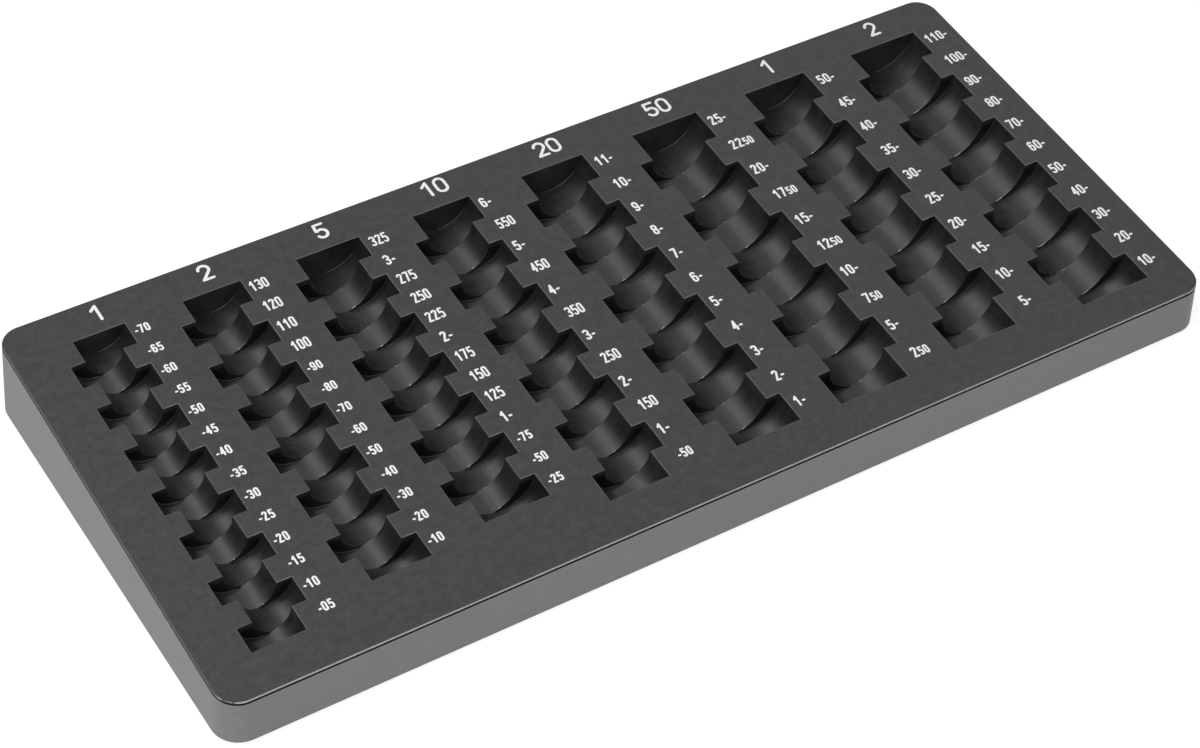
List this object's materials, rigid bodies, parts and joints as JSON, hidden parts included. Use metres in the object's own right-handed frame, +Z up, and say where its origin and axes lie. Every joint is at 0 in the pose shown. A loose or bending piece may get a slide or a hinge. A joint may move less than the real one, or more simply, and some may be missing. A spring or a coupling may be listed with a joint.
{
  "type": "manual coin counting tray",
  "caption": "Low sloping tray with columns of staggered half-round coin pockets, a raised rear edge and printed counts beside the pockets.",
  "frame": {"origin": "middle of the footprint, at the height of the feet's underside", "axes": "+X along the long side from the column of the smallest coins to the column of the largest, +Y to the high rear edge, +Z up"},
  "size_m": [0.35, 0.157, 0.0282],
  "materials": {
    "deck": "black, fine spark-eroded grain",
    "channel": "black, satin in the round of the pockets",
    "housing": "charcoal grey, fine grain",
    "base": "black, plain moulded",
    "foot": "black rubber",
    "print": "white printed numbers"
  },
  "bodies": {
    "root": {"deck_panel": "deck", "housing": "housing", "base_plate": "base", "channel_cent_1": "channel", "channel_cent_2": "channel", "channel_cent_5": "channel", "channel_cent_10": "channel", "channel_cent_20": "channel", "channel_cent_50": "channel", "channel_euro_1": "channel", "channel_euro_2": "channel", "foot_front_left": "foot", "foot_front_right": "foot", "foot_rear_left": "foot", "foot_rear_right": "foot"}
  },
  "joints": []
}
